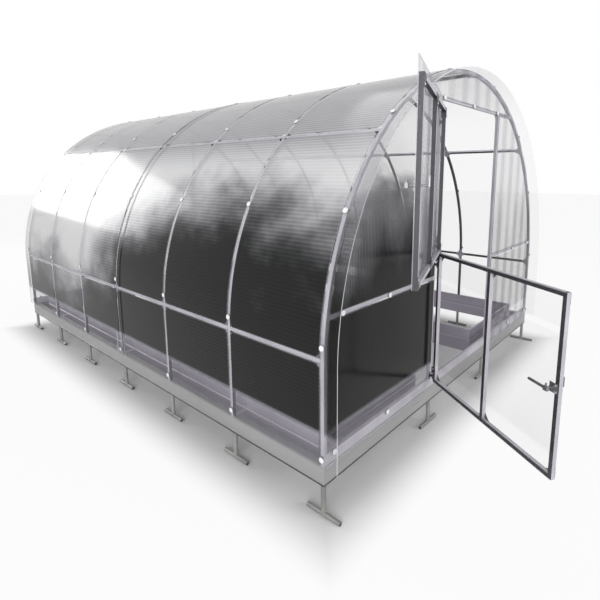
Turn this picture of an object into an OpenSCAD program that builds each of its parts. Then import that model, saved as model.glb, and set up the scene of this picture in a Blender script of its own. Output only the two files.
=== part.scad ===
// Polycarbonate tunnel greenhouse with a two-leaf gable door.
// X runs across, Y along the ridge (the door gable is at -Y), Z is up.
// The origin is the middle of the footprint, level with the underside of the base beams.

/* [Overall] */
// Width over the outside of the arches
width = 3000; // [2800:10:3200]
// Number of arches
arch_count = 7; // [5:2:9]
// Distance between neighbouring arches
bay = 670; // [620:5:700]
// Height of the centre that the arches are bent round
spring_z = 585; // [560:5:620]

/* [Tubes] */
// Outside size of the square frame tube
tube = 20; // [18:0.5:22]
// Wall of the frame tube
tube_wall = 1.2; // [1:0.1:1.5]
// Clearance between pieces that meet
fit = 0.3; // [0.2:0.05:0.4]

/* [Base] */
// Height of the base beam
base_h = 100; // [90:1:110]
// Width of the base beam's flanges
base_flange = 40; // [36:1:46]
// Sheet thickness of the base beam
base_t = 2; // [1.5:0.1:2.5]
// Length of the slot in the gable beams
slot_len = 64; // [40:1:80]
// Height of the slot in the gable beams
slot_h = 6; // [5:0.5:10]
// Distance of the slots from the middle of the gable
slot_x = 645; // [560:5:700]
// Radius of the four anchor bolt holes in the bottom flanges
anchor_hole_r = 5; // [4:0.5:6]
// Length of the plates that join two side beams
splice_len = 300; // [200:10:400]
// Leg length of the corner angles
angle_len = 80; // [60:1:120]

/* [Ground anchors] */
// Diameter of the anchor stake
stake_d = 25; // [20:1:28]
// Diameter of the cross tube at the foot of a stake
foot_d = 22; // [18:1:25]
// Length of the cross tube
foot_len = 205; // [160:5:260]
// Depth of the cross tube's centre below the ground
foot_depth = 157; // [140:1:220]
// Wall of the anchor tubes
anchor_wall = 2; // [1.5:0.1:2.5]
// Distance of the gable anchors from the middle of the gable
gable_anchor_x = 450; // [400:5:520]

/* [Rails and connectors] */
// Angle of the lower rails on the arch
lower_angle = 1; // [0.5:0.1:2]
// Angle of the upper purlins on the arch
upper_angle = 45; // [42:1:47]
// Reach of a connector lobe from the plate's centre
lobe_reach = 28; // [26:0.5:32]
// Radius of a connector lobe
lobe_r = 17; // [15:0.5:18]
// Radius of the connector's middle
crab_r = 30; // [27:0.5:32]
// Sheet thickness of connectors and gussets
plate_t = 2; // [1.5:0.1:2.5]
// Height of the raised rim of a connector
rim_h = 4; // [3:0.5:6]
// Width of the raised rim
rim_w = 2.5; // [2:0.1:3]
// Radius of the screw shank
screw_r = 2.4; // [2:0.1:2.8]
// Radius of the hexagonal screw head over its corners
head_r = 5.2; // [4.5:0.1:6]
// Height of the screw head
head_h = 3.5; // [3:0.1:4.5]

/* [Gable frame] */
// Clear width between the door posts
door_clear = 920; // [860:5:960]
// Width of a door post across the gable
post_w = 30; // [28:1:34]
// Distance from the top of the arches down to the header tube's centre
header_drop = 211.5; // [195:0.5:245]
// Height of the tie bars' centre
tie_z = 808; // [760:2:840]
// Height of the sill tube
sill_h = 55; // [50:1:60]
// Height of the tie bars' centre on the back gable
back_tie_z = 1020; // [940:5:1060]
// Reach of a gusset lobe
gusset_reach = 34; // [30:1:42]
// Radius of a gusset lobe
gusset_r = 12; // [11:0.5:13]

/* [Sheets] */
// Thickness of the polycarbonate sheet
sheet_t = 4; // [3.5:0.1:6]
// Overhang of the tunnel sheet beyond the end arches
overhang = 80; // [50:5:100]
// Overlap of the two tunnel sheets either side of the middle arch
lap = 50; // [35:5:80]
// Height of the lower edge of the sheets
sheet_bottom = 92; // [80:1:100]
// Radius of the holes for the washer stems
stem_hole_r = 5.5; // [5.2:0.1:6]

/* [Sheet washers] */
// Radius of a washer cap
cap_r = 15; // [13:0.5:17]
// Height of a washer cap
cap_h = 5; // [4:0.5:6]
// Radius of the stem under a cap
stem_r = 4.5; // [4:0.1:4.8]
// Thickness of the rubber ring
ring_t = 1.5; // [1.2:0.1:2]
// Height of the lowest washers on the arches
washer_low_z = 135; // [125:1:150]
// Angle of the washers just above the lower rail
washer_angle_1 = 3.4; // [3.2:0.1:5]
// Angle of the second washers up the arches
washer_angle_2 = 27.2; // [22:0.1:32]
// Angle of the third washers up the arches
washer_angle_3 = 50.2; // [48:0.1:56]
// Angle of the washers next to the ridge
washer_angle_4 = 76.5; // [70:0.1:82]
// Distance of the outer washers of a sill from the outside of the arches
sill_washer_in = 69; // [60:1:100]
// Distance of the outer washers of a tie bar from the outside of the arches
tie_washer_in = 129; // [110:1:160]
// Distance of the inner washers from the middle of the gable
gable_washer_mid = 975; // [900:5:1050]
// Distance of the header's outer washers from the door posts
header_washer_in = 30; // [20:1:60]

/* [Door] */
// Overlap of the leaf on each door post
leaf_lap = 14; // [12:1:16]
// Height of the lower edge of the lower leaf
leaf_bottom = 146; // [143:1:150]
// Height where the two leaves meet
leaf_split = 971; // [930:2:1010]
// Gap between the two leaves
leaf_gap = 4; // [3:0.5:6]
// Distance from the header's centre down to the upper edge of the upper leaf's frame
leaf_drop = 68.5; // [60:0.5:80]
// How far the upper leaf's sheet stands above its frame
sheet_rise = 64; // [50:1:70]
// Gap between the closed leaf's screw heads and the posts
seal_gap = 0.6; // [0.4:0.1:1]
// How far the lower leaf stands open
lower_open = 121.8; // [100:0.1:140]
// How far the upper leaf stands open
upper_open = 159.3; // [130:0.1:160]

/* [Hinges] */
// Radius of a hinge knuckle
knuckle_r = 5; // [4.5:0.1:5.2]
// Length of a hinge
hinge_len = 80; // [76:1:90]
// Radius of the hinge pin
pin_r = 2.5; // [2:0.1:2.8]
// Radial clearance of the hinge pin
pin_clear = 0.05; // [0.03:0.01:0.08]
// Thickness of the hinge wings
wing_t = 2.5; // [2:0.1:2.8]
// Distance of the hinge axis outside the leaf's edge
axis_out = 6; // [5.8:0.1:7]

/* [Latches] */
// Height of the latch above the leaf's middle
latch_rise = 0; // [-40:1:40]
// Length of the lever
lever_len = 100; // [80:1:120]
// Radius of the lever
lever_r = 6.5; // [6:0.5:9]
// Radius of the latch spindle
spindle_r = 4; // [3.5:0.1:4.5]
// Radial clearance of the latch spindle
spindle_clear = 0.08; // [0.05:0.01:0.1]
// Distance of the lever's centre from the latch plate
lever_off = 32; // [26:1:40]
// Height of the latch plate
latch_plate_h = 44; // [40:1:60]
// Length of the tongue that catches behind the post
tongue_len = 44; // [40:1:50]

/* [Beds] */
// Distance of a bed's outer side from the outside of the arches
bed_gap = 100; // [90:5:160]
// Distance of a bed's inner side from the middle
bed_in = 440; // [420:5:560]
// Distance from the arches at the gables to the ends of a bed
bed_end = 110; // [90:5:140]
// Height of a bed
bed_h = 190; // [170:1:240]
// Sheet thickness of the bed panels
bed_t = 1.5; // [1:0.1:2]
// Width of the folded top edge of a bed panel
bed_fold = 15; // [12:1:20]
// Leg width of the bed's corner posts
bed_leg = 30; // [20:1:40]
// Distance of the straps at a bed's ends from its outer side
bed_strap_in = 120; // [60:5:600]

/* [Hidden] */
$fn = 48;

galvanised = [0.66, 0.66, 0.67];
sheet_colour = [0.80, 0.80, 0.84, 0.45];
rubber_colour = [0.08, 0.08, 0.08];
cap_colour = [0.93, 0.93, 0.94];
bed_colour = [0.62, 0.59, 0.66];
dark_metal = [0.25, 0.25, 0.27];
latch_metal = [0.48, 0.48, 0.50];

// Frame sizes
r_out = width / 2;
r_in = r_out - tube;
frame_len = bay * (arch_count - 1);
gable_y = frame_len / 2 + tube / 2;
middle_arch = (arch_count + 1) / 2;
leg_bottom = base_h;
r_sheet = r_out + fit;
lap_rise = sheet_t + fit;
eps = 0.01;
thread = 4;
stand = 2 * fit + sheet_t;

// Connector sizes: a flat plate touches the bent tube at its ends
plate_reach = lobe_reach + lobe_r;
plate_sag = r_in - sqrt(r_in * r_in - plate_reach * plate_reach);
plate_gap = plate_sag + fit;
rail_angles = [lower_angle, upper_angle, 90, 180 - upper_angle, 180 - lower_angle];
hole_r = screw_r + fit / 2;

// Washer places on an arch
washer_angles = [washer_angle_1, washer_angle_2, washer_angle_3, washer_angle_4];
all_washer_angles = concat(washer_angles, [for (a = washer_angles) 180 - a]);

// Heights of the gable frame, and places of its washers
header_z = spring_z + r_out - header_drop;
sill_z = base_h + sill_h / 2;
sill_washer_drop = 8;
sill_washer_z = base_h + sill_h - sill_washer_drop;

// Door sizes, with the leaves shut
post_in = door_clear / 2;
post_out = post_in + post_w;
post_mid = (post_in + post_out) / 2;
leaf_top = header_z - leaf_drop;
leaf_half = post_in + leaf_lap;
leaf_in_y = -gable_y - head_h - seal_gap;
leaf_frame_y = leaf_in_y - plate_t - fit;
leaf_sheet_y = leaf_frame_y - tube - fit;
leaf_face_y = leaf_sheet_y - sheet_t;
hinge_x = -leaf_half - axis_out;
hinge_y = leaf_face_y + knuckle_r + wing_t + fit;
leaf_zs = [[leaf_bottom, leaf_split - leaf_gap / 2], [leaf_split + leaf_gap / 2, leaf_top]];
sheet_tops = [leaf_zs[0][1] - 1, leaf_top + sheet_rise];
leaf_open = [lower_open, upper_open];
hinge_inset = 14;
hinge_zs = [for (z = leaf_zs) [z[0] + hinge_inset, z[1] - hinge_inset - hinge_len]];
half_len = (hinge_len - fit) / 2;
hinge_screw_zs = [0.15 * half_len, 0.85 * half_len];
hinge_screw_edge = 5;
hinge_screw_x = -post_out + hinge_screw_edge;
wing_w = 18;
wing_y = -gable_y - fit - sheet_t - fit;
sheet_gap = 3;
sheet_edge_x = leaf_half + sheet_gap;
latch_inset = 6;
latch_x = leaf_half - tube - spindle_r - latch_inset;
latch_zs = [for (z = leaf_zs) (z[0] + z[1]) / 2 + latch_rise];
latch_screw_dz = latch_plate_h / 2 - head_r - 2;
latch_edge = 14;
latch_boss = 8;
boss_wall = 5;
latch_rim = 2;
tongue_w = 13;
tongue_t = 5;
hub_w = 20;
thumb_rise = 12;

// Bed sizes
bed_out = r_out - bed_gap;
bed_y = frame_len / 2 - bed_end;
bed_rib = 5;
strap_w = 30;
strap_clear = 2;
strap_ys = [for (t = [-1, 0, 1]) 2 * t * bay];

function arch_y(i) = -frame_len / 2 + (i - 1) * bay;

// The stakes stand inside the beams, the end ones in the corners
stake_in = 2 * base_t + fit + stake_d / 2;
joint_plate_rise = 10;
plate_z = base_t + joint_plate_rise;
function anchor_y(i) = i == 1 ? -gable_y + stake_in : i == arch_count ? gable_y - stake_in : arch_y(i);

// Ring section of the square tube, centred
module tube_section(w = tube, h = tube) {
  difference() {
    square([w, h], center = true);
    square([w - 2 * tube_wall, h - 2 * tube_wall], center = true);
  }
}

// Straight tube along X, Y or Z between two values
module tube_x(x0, x1, y, z, h = tube) {
  translate([x0, y, z]) rotate([90, 0, 90]) linear_extrude(x1 - x0) tube_section(tube, h);
}
module tube_y(y0, y1) {
  translate([0, y1, 0]) rotate([90, 0, 0]) linear_extrude(y1 - y0) tube_section();
}
module tube_z(x, y, z0, z1, w = tube) {
  translate([x, y, z0]) linear_extrude(z1 - z0) tube_section(w);
}

// Moves a shape drawn round the origin to an angle on the arches: +X points outwards there
module on_arch(angle, y, radius = r_out) {
  translate([0, y, spring_z]) rotate([0, -angle, 0]) translate([radius, 0, 0]) children();
}

// Base beams: a C channel that is open towards the inside, with a folded hem outside
module channel_section() {
  polygon([
    [0, 0], [base_flange, 0], [base_flange, base_t], [base_t, base_t],
    [base_t, base_h - base_t], [base_flange, base_h - base_t], [base_flange, base_h],
    [0, base_h], [0, base_t * 5], [-base_t, base_t * 5 - base_t / 2], [-base_t, 0]
  ]);
}

// Cuts away what lies past a mitre through the origin, on a piece of this width and height
module mitre(wide, high) {
  translate([0, 0, -1]) rotate([0, 0, 45]) translate([0, -4 * wide, 0]) cube([4 * wide, 8 * wide, high + 2]);
}

// Beam along X with its outside at Y = 0, cut to a mitre at both ends
module mitred_beam(len) {
  difference() {
    translate([-len / 2 - base_t, 0, 0]) rotate([90, 0, 90])
      linear_extrude(len + 2 * base_t) channel_section();
    for (s = [0, 1]) mirror([s, 0, 0]) translate([len / 2, 0, 0]) mitre(base_flange, base_h);
  }
}

module anchor_holes() {
  for (s = [-1, 1]) translate([s * (r_out - base_flange - angle_len), base_flange / 2, -1])
    cylinder(h = base_t + 2, r = anchor_hole_r);
}

module gable_beam() {
  difference() {
    translate([0, -gable_y, 0]) mitred_beam(width);
    translate([0, -gable_y, 0]) anchor_holes();
    stake_holes();
    for (s = [-1, 1]) translate([s * slot_x - slot_len / 2, -gable_y - 1, base_h / 2])
      cube([slot_len, base_t + 2, slot_h]);
  }
}

module side_beams() {
  difference() {
    translate([-r_out, 0, 0]) rotate([0, 0, -90]) mitred_beam(2 * gable_y);
    translate([-r_out - 3 * base_t, -fit / 2, -1]) cube([2 * base_flange, fit, base_h + 2]);
    stake_holes();
  }
}

module base_front_beam() color(galvanised) gable_beam();
module base_back_beam() color(galvanised) mirror([0, 1, 0]) gable_beam();
module base_left_beams() color(galvanised) side_beams();
module base_right_beams() color(galvanised) mirror([1, 0, 0]) side_beams();

// Splice plates and corner angles lie against the webs, between the web and the stakes
module base_splices() color(galvanised) for (s = [0, 1]) mirror([s, 0, 0])
  translate([-r_out + base_t, -splice_len / 2, plate_z])
    cube([base_t, splice_len, base_h - 2 * plate_z]);

module base_corner_angles() color(galvanised)
  for (sx = [0, 1], sy = [0, 1]) mirror([sx, 0, 0]) mirror([0, sy, 0])
    translate([-r_out + base_t, -gable_y + base_t, plate_z]) linear_extrude(base_h - 2 * plate_z)
      polygon([
        [0, 0], [angle_len, 0], [angle_len, base_t], [base_t, base_t], [base_t, angle_len], [0, angle_len]
      ]);

// A ground anchor: a stake with a cross tube welded to its foot, both hollow
module ground_anchor() {
  difference() {
    union() {
      translate([0, 0, -foot_depth]) cylinder(h = foot_depth + base_h - plate_z, d = stake_d);
      translate([0, foot_len / 2, -foot_depth]) rotate([90, 0, 0]) cylinder(h = foot_len, d = foot_d);
    }
    translate([0, foot_len / 2 + 1, -foot_depth]) rotate([90, 0, 0])
      cylinder(h = foot_len + 2, d = foot_d - 2 * anchor_wall);
    translate([0, 0, -foot_depth - foot_d]) cylinder(h = foot_d, d = stake_d + 1);
    translate([0, 0, -foot_depth + foot_d / 2])
      cylinder(h = foot_depth + base_h, d = stake_d - 2 * anchor_wall);
  }
}

// A stake stands at the foot of every arch, and two under each gable
module at_stakes() {
  for (s = [-1, 1], i = [1 : arch_count]) translate([s * (r_out - stake_in), anchor_y(i), 0]) children();
  for (s = [-1, 1], t = [-1, 1]) translate([s * gable_anchor_x, t * (gable_y - stake_in), 0])
    rotate([0, 0, 90]) children();
}
module stake_holes() {
  at_stakes() translate([0, 0, -1]) cylinder(h = base_t + 2, d = stake_d + 2 * fit);
}
module ground_anchors() color(galvanised) at_stakes() ground_anchor();

// Arches: a square tube with straight legs and a half circle
module arch_at(i) {
  difference() {
    union() {
      translate([0, arch_y(i), spring_z]) rotate([90, 0, 0]) rotate_extrude(angle = 180, $fn = 128)
        translate([r_out - tube / 2, 0]) tube_section();
      for (s = [-1, 1]) tube_z(s * (r_out - tube / 2), arch_y(i), leg_bottom, spring_z);
    }
    for (a = rail_angles) on_arch(a, arch_y(i), r_in) rotate([0, 90, 0])
      translate([0, 0, -1]) cylinder(h = tube_wall + 2, r = hole_r, $fn = 24);
  }
}
module arch_1() color(galvanised) arch_at(1);
module arch_2() color(galvanised) arch_at(2);
module arch_3() color(galvanised) arch_at(3);
module arch_4() color(galvanised) arch_at(4);
module arch_5() color(galvanised) arch_at(5);
module arch_6() color(galvanised) arch_at(6);
module arch_7() color(galvanised) arch_at(7);

// Rails between the arches, flush with them outside
module rail_line(angle) {
  for (i = [1 : arch_count - 1]) {
    y0 = arch_y(i) + tube / 2 + fit;
    y1 = arch_y(i + 1) - tube / 2 - fit;
    difference() {
      on_arch(angle, 0, r_out - tube / 2) tube_y(y0, y1);
      for (y = [arch_y(i) + lobe_reach, arch_y(i + 1) - lobe_reach])
        on_arch(angle, y, r_in) rotate([0, 90, 0]) translate([0, 0, -1])
          cylinder(h = tube_wall + 2, r = hole_r, $fn = 24);
    }
  }
}
module rails_lower_left() color(galvanised) rail_line(180 - lower_angle);
module rails_lower_right() color(galvanised) rail_line(lower_angle);
module purlins_left() color(galvanised) rail_line(180 - upper_angle);
module purlins_right() color(galvanised) rail_line(upper_angle);
module ridge_purlins() color(galvanised) rail_line(90);

// Outline of a connector with four lobes
module crab_outline(inset = 0) {
  circle(r = crab_r - inset);
  for (a = [0 : 90 : 270]) rotate(a) translate([lobe_reach, 0]) circle(r = lobe_r - inset);
}

// A pressed connector: flat plate, raised rim and screw holes. It lies inside the tubes, and at
// an end arch it is cut off level with the arch.
module crab_plate(i) {
  side = i == 1 ? 1 : i == arch_count ? -1 : 0;
  cut = plate_reach + 1;
  rotate([0, -90, 0]) difference() {
    union() {
      linear_extrude(plate_t) crab_outline();
      linear_extrude(rim_h) difference() {
        crab_outline();
        crab_outline(rim_w);
      }
    }
    for (y = screw_offsets(i)) translate([0, y, -1]) cylinder(h = plate_t + 2, r = hole_r, $fn = 24);
    if (side != 0) translate([-cut, side > 0 ? -2 * cut - tube / 2 : tube / 2, -1])
      cube([2 * cut, 2 * cut, rim_h + 2]);
  }
}
function screw_offsets(i) = concat([0], i == 1 ? [] : [-lobe_reach], i == arch_count ? [] : [lobe_reach]);

module crab_plates_at(angles) color(galvanised) for (a = angles, i = [1 : arch_count])
  on_arch(a, arch_y(i), r_in - plate_gap) crab_plate(i);

module crab_plates_lower() crab_plates_at([lower_angle, 180 - lower_angle]);
module crab_plates_upper() crab_plates_at([upper_angle, 180 - upper_angle]);
module crab_plates_ridge() crab_plates_at([90]);

// Screw along +X with its head's underside at the origin
module screw(shank) {
  rotate([0, 90, 0]) cylinder(h = shank, r = screw_r, $fn = 24);
  rotate([0, -90, 0]) cylinder(h = head_h, r = head_r, $fn = 6);
}

// Screws of the connectors, the gable gussets and the fixed halves of the hinges
module frame_screws() color(galvanised) {
  for (a = rail_angles, i = [1 : arch_count], dy = screw_offsets(i))
    on_arch(a, arch_y(i) + dy, r_in - plate_gap - plate_t) screw(plate_t + plate_gap + tube_wall + thread);
  joint_screws(tie_z);
  mirror([0, 1, 0]) joint_screws(back_tie_z);
  at_hinge_screws(wing_y - wing_t) rotate([0, 90, 0]) screw(wing_t + sheet_t + 2 * fit + tube_wall + thread);
}
module joint_screws(tie) {
  at_joint_screws(gable_joints(tie), gusset_y + plate_t) rotate([0, -90, 0])
    screw(plate_t + tube_wall + thread);
}

// Gable frames. They are drawn for the front and mirrored for the back.
module inside_arch() {
  intersection() {
    children();
    translate([0, -frame_len / 2, spring_z]) rotate([90, 0, 0])
      cylinder(h = 2 * tube, r = r_in - fit, center = true, $fn = 360);
  }
}

// Joints of a gable frame: place and the directions of the gusset's lobes there
function gable_joints(tie) = [
  [post_mid, header_z, [0, 180, 270]], [-post_mid, header_z, [0, 180, 270]],
  [post_mid, tie, [0, 90, 270]], [-post_mid, tie, [90, 180, 270]],
  [post_mid, sill_z, [0, 90, 180]], [-post_mid, sill_z, [0, 90, 180]]
];

// Outline of a gusset: lobes in the directions given, and a web in each corner between two of them
function in_corner(directions, a) = len(search((a + 90) % 360, directions)) > 0;
module gusset(directions) {
  difference() {
    linear_extrude(plate_t) {
      circle(r = gusset_r + 6);
      for (a = directions) rotate(a) {
        translate([gusset_reach, 0]) circle(r = gusset_r);
        translate([0, 2 - gusset_r]) square([gusset_reach, 2 * gusset_r - 4]);
        if (in_corner(directions, a))
          polygon([[0, 0], [gusset_reach, 0], [gusset_reach, gusset_r], [gusset_r, gusset_reach], [0, gusset_reach]]);
      }
    }
    for (a = directions) rotate(a) translate([gusset_reach, 0, -1])
      cylinder(h = plate_t + 2, r = hole_r, $fn = 24);
  }
}

// Puts a shape at each joint, or at each screw of the joints, facing along -Y
module at_joints(joints, y) {
  for (j = joints) translate([j[0], y, j[1]]) rotate([90, 0, 0]) {
    $directions = j[2];
    children();
  }
}
module at_joint_screws(joints, y) {
  for (j = joints, a = j[2]) translate([j[0], y, j[1]]) rotate([90, 0, 0]) rotate(a)
    translate([gusset_reach, 0, 0]) children();
}
// Hole for a screw through a tube's wall or a plate, either side of the origin
module screw_hole() {
  cylinder(h = 4 * tube_wall, r = hole_r, center = true, $fn = 24);
}

// Puts a shape at each screw that holds the hinges to the post
module at_hinge_screws(y) {
  for (leaf = hinge_zs, z = leaf, dz = hinge_screw_zs) translate([hinge_screw_x, y, z + dz])
    rotate([90, 0, 0]) children();
}

gusset_y = -frame_len / 2 + tube / 2;
module drilled(tie) {
  difference() {
    children();
    at_joint_screws(gable_joints(tie), gusset_y) screw_hole();
  }
}
module posts(tie) {
  drilled(tie) for (s = [-1, 1]) difference() {
    tube_z(s * post_mid, -frame_len / 2, base_h, header_z - tube / 2, post_w);
    at_hinge_screws(-gable_y) screw_hole();
  }
}
module header(tie) {
  drilled(tie) inside_arch() tube_x(-r_out, r_out, -frame_len / 2, header_z);
}
module tie_bars(tie) {
  drilled(tie) inside_arch() for (s = [0, 1]) mirror([s, 0, 0]) tube_x(post_out, r_out, -frame_len / 2, tie);
}
module sill(tie) {
  drilled(tie) {
    for (s = [0, 1]) mirror([s, 0, 0]) tube_x(post_out, r_in, -frame_len / 2, sill_z, sill_h);
    tube_x(-post_in, post_in, -frame_len / 2, sill_z, sill_h);
  }
}

// Gussets lie on the inside face of the gable frame
module gable_gussets(tie) {
  at_joints(gable_joints(tie), gusset_y + plate_t) gusset($directions);
}

module front_door_posts() color(galvanised) posts(tie_z);
module front_header() color(galvanised) header(tie_z);
module front_tie_bars() color(galvanised) tie_bars(tie_z);
module front_sill() color(galvanised) sill(tie_z);
module front_gussets() color(galvanised) gable_gussets(tie_z);
module back_posts() color(galvanised) mirror([0, 1, 0]) drilled(back_tie_z) for (s = [-1, 1])
  tube_z(s * post_mid, -frame_len / 2, base_h, header_z - tube / 2, post_w);
module back_header() color(galvanised) mirror([0, 1, 0]) header(back_tie_z);
module back_bars() color(galvanised) mirror([0, 1, 0]) {
  tie_bars(back_tie_z);
  sill(back_tie_z);
}
module back_gussets() color(galvanised) mirror([0, 1, 0]) gable_gussets(back_tie_z);

// Tunnel sheets: a section along Y, bent round the arches, with straight sides
module bent_sheet(points) {
  translate([0, 0, spring_z]) rotate([90, 0, 0]) rotate_extrude(angle = 180, $fn = 128)
    polygon([for (p = points) [p[1], -p[0]]]);
  for (s = [0, 1]) mirror([s, 0, 0]) translate([0, 0, sheet_bottom])
    linear_extrude(spring_z - sheet_bottom) polygon([for (p = points) [p[1], p[0]]]);
}

module stem_holes(first, last) {
  for (i = [first : last]) {
    for (a = all_washer_angles) on_arch(a, arch_y(i)) rotate([0, 90, 0])
      cylinder(h = 4 * sheet_t, r = stem_hole_r, $fn = 24);
    for (s = [0, 1]) mirror([s, 0, 0]) translate([r_out, arch_y(i), washer_low_z]) rotate([0, 90, 0])
      cylinder(h = 4 * sheet_t, r = stem_hole_r, $fn = 24);
  }
}

// The front sheet lies over the back one at the middle arch
module roof_sheet_front() color(sheet_colour) difference() {
  bent_sheet([
    [-gable_y - overhang, r_sheet], [-lap - 4 * lap_rise, r_sheet],
    [-lap - lap_rise, r_sheet + lap_rise], [lap, r_sheet + lap_rise],
    [lap, r_sheet + lap_rise + sheet_t], [-lap - lap_rise, r_sheet + lap_rise + sheet_t],
    [-lap - 4 * lap_rise, r_sheet + sheet_t], [-gable_y - overhang, r_sheet + sheet_t]
  ]);
  stem_holes(1, middle_arch);
}

module roof_sheet_back() color(sheet_colour) difference() {
  bent_sheet([
    [-lap, r_sheet], [gable_y + overhang, r_sheet],
    [gable_y + overhang, r_sheet + sheet_t], [-lap, r_sheet + sheet_t]
  ]);
  stem_holes(middle_arch, arch_count);
}

// Gable sheets lie on the outside of the gable frame, under the tunnel sheet's overhang
function gable_washers_side(tie) = [
  [gable_washer_mid, tie], [gable_washer_mid, sill_washer_z],
  [r_out - tie_washer_in, tie], [r_out - sill_washer_in, sill_washer_z]
];
gable_washers_top = [for (x = [-1, 0, 1]) [x * (post_in - header_washer_in), header_z]];
function both_sides(places) = concat(places, [for (p = places) [-p[0], p[1]]]);
front_washers = concat(both_sides(gable_washers_side(tie_z)), gable_washers_top);
back_washers = concat(both_sides(gable_washers_side(back_tie_z)), gable_washers_top);

module gable_blank() {
  translate([0, -gable_y - fit, spring_z]) rotate([90, 0, 0])
    cylinder(h = sheet_t, r = r_out - fit, $fn = 128);
  translate([-r_out + fit, -gable_y - fit - sheet_t, sheet_bottom])
    cube([2 * (r_out - fit), sheet_t, spring_z - sheet_bottom]);
}
module gable_stem_holes(places) {
  for (p = places) translate([p[0], -gable_y, p[1]]) rotate([90, 0, 0])
    cylinder(h = 4 * sheet_t, r = stem_hole_r, $fn = 24);
}
module gable_side_sheet() {
  difference() {
    intersection() {
      gable_blank();
      translate([sheet_edge_x, -gable_y - 3 * sheet_t, sheet_bottom]) cube([r_out, 3 * sheet_t, r_out * 2]);
      translate([0, -gable_y - 3 * sheet_t, 0]) cube([r_out, 3 * sheet_t, header_z - 0.5]);
    }
    gable_stem_holes(gable_washers_side(tie_z));
  }
}
module gable_sheet_front_right() color(sheet_colour) gable_side_sheet();
module gable_sheet_front_left() color(sheet_colour) difference() {
  mirror([1, 0, 0]) gable_side_sheet();
  at_hinge_screws(-gable_y) cylinder(h = 4 * sheet_t, r = hole_r, center = true, $fn = 24);
}
module gable_sheet_front_top() color(sheet_colour) difference() {
  intersection() {
    gable_blank();
    translate([-r_out, -gable_y - 3 * sheet_t, header_z]) cube([width, 3 * sheet_t, r_out]);
  }
  gable_stem_holes(gable_washers_top);
}
module gable_sheet_back() color(sheet_colour) mirror([0, 1, 0]) difference() {
  intersection() {
    gable_blank();
    translate([-r_out, -gable_y - 3 * sheet_t, sheet_bottom]) cube([width, 3 * sheet_t, 2 * r_out]);
  }
  gable_stem_holes(back_washers);
}

// Washer parts stand on the sheet along +Z: a ring, and a domed cap whose stem reaches the tube
module washer_ring(stand) {
  translate([0, 0, stand]) difference() {
    cylinder(h = ring_t, r = cap_r);
    translate([0, 0, -1]) cylinder(h = ring_t + 2, r = stem_hole_r);
  }
}
module washer_cap(stand) {
  translate([0, 0, stand + ring_t]) rotate_extrude() polygon([
    [0, 0], [cap_r - 1, 0], [cap_r - 1, 0.35 * cap_h], [0.8 * cap_r, 0.7 * cap_h],
    [0.5 * cap_r, 0.95 * cap_h], [0.2 * cap_r, cap_h], [0, cap_h]
  ]);
  translate([0, 0, fit]) cylinder(h = stand + ring_t - fit + eps, r = stem_r, $fn = 24);
}

module at_roof_washers(lapped) {
  for (i = [1 : arch_count]) if ((i == middle_arch) == lapped) {
    for (a = all_washer_angles) on_arch(a, arch_y(i)) rotate([0, 90, 0]) children();
    for (s = [0, 1]) mirror([s, 0, 0]) translate([r_out, arch_y(i), washer_low_z])
      rotate([0, 90, 0]) children();
  }
}
module roof_washer_caps() color(cap_colour) {
  at_roof_washers(false) washer_cap(stand);
  at_roof_washers(true) washer_cap(stand + lap_rise);
}
module roof_washer_rings() color(rubber_colour) {
  at_roof_washers(false) washer_ring(stand);
  at_roof_washers(true) washer_ring(stand + lap_rise);
}
module at_gable_washers() {
  for (p = front_washers) translate([p[0], -gable_y, p[1]]) rotate([90, 0, 0]) children();
  for (p = back_washers) mirror([0, 1, 0]) translate([p[0], -gable_y, p[1]]) rotate([90, 0, 0]) children();
}
module gable_washer_caps() color(cap_colour) at_gable_washers() washer_cap(stand);
module gable_washer_rings() color(rubber_colour) at_gable_washers() washer_ring(stand);

// Beds: pressed panels with a rib at half height and a folded top edge, on angle posts
module bed_section() {
  rib = bed_rib;
  polygon([
    [0, 0], [0, bed_h / 2 - 2 * rib], [-rib, bed_h / 2 - rib], [-rib, bed_h / 2 + rib],
    [0, bed_h / 2 + 2 * rib], [0, bed_h], [bed_fold, bed_h], [bed_fold, bed_h - bed_t],
    [bed_t, bed_h - bed_t], [bed_t, bed_h / 2 + 2 * rib + 0.5], [bed_t - rib, bed_h / 2 + rib],
    [bed_t - rib, bed_h / 2 - rib], [bed_t, bed_h / 2 - 2 * rib - 0.5], [bed_t, 0]
  ]);
}

// Panel along X with its outside at Y = 0, cut to a mitre at its left end
module bed_panel(len) {
  difference() {
    translate([-bed_h, 0, 0]) rotate([90, 0, 90]) linear_extrude(len + bed_h) bed_section();
    translate([fit / 2, 0, 0]) mirror([1, 0, 0]) mitre(bed_h, bed_h);
  }
}
// Each long side is in two lengths, and each end in one
module bed() {
  for (s = [0, 1]) mirror([0, s, 0]) {
    translate([bed_in, -bed_y, 0]) mirror([0, 1, 0]) rotate([0, 0, -90]) bed_panel(bed_y - fit / 2);
    translate([bed_out, -bed_y, 0]) rotate([0, 0, 90]) bed_panel(bed_y - fit / 2);
    translate([bed_in, -bed_y, 0]) intersection() {
      bed_panel(bed_out - bed_in);
      translate([bed_out - bed_in, 0, 0]) mirror([1, 0, 0]) bed_panel(bed_out - bed_in);
    }
  }
}
module bed_right() color(bed_colour) bed();
module bed_left() color(bed_colour) mirror([1, 0, 0]) bed();

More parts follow.
